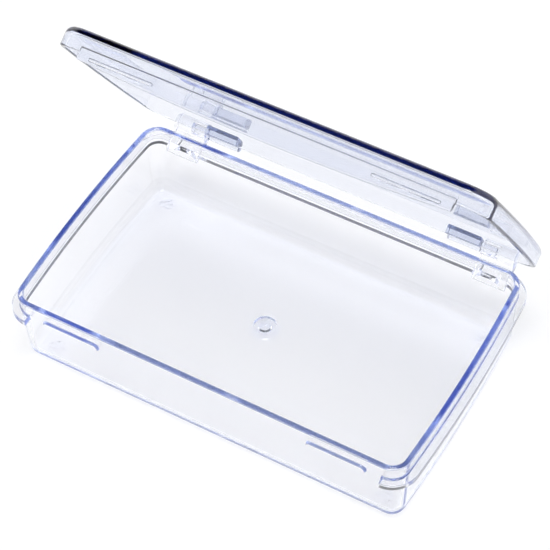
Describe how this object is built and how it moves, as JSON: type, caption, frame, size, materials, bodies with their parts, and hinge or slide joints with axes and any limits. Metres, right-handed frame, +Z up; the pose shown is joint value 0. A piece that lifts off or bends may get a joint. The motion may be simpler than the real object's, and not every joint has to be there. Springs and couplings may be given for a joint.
{
  "type": "pick holder",
  "caption": "Small rectangular clear plastic box for guitar picks, with a hinged lid that snaps shut on the front wall.",
  "frame": {"origin": "middle of the tray's flat underside, on the surface the box stands on", "axes": "+X along the long side, +Y towards the hinge at the back, +Z up out of the tray"},
  "size_m": [0.0954, 0.0634, 0.071],
  "materials": {
    "tray": "clear, polished",
    "lid": "clear, polished"
  },
  "bodies": {
    "tray": {"tray": "tray"},
    "lid": {"lid": "lid"}
  },
  "joints": [
    {"name": "lid_hinge", "type": "hinge", "parent": "tray", "child": "lid", "pos_m": [0, 0.03225, 0.017], "axis": [-1, 0, 0], "range_deg": [-58.9, 121.1]}
  ]
}
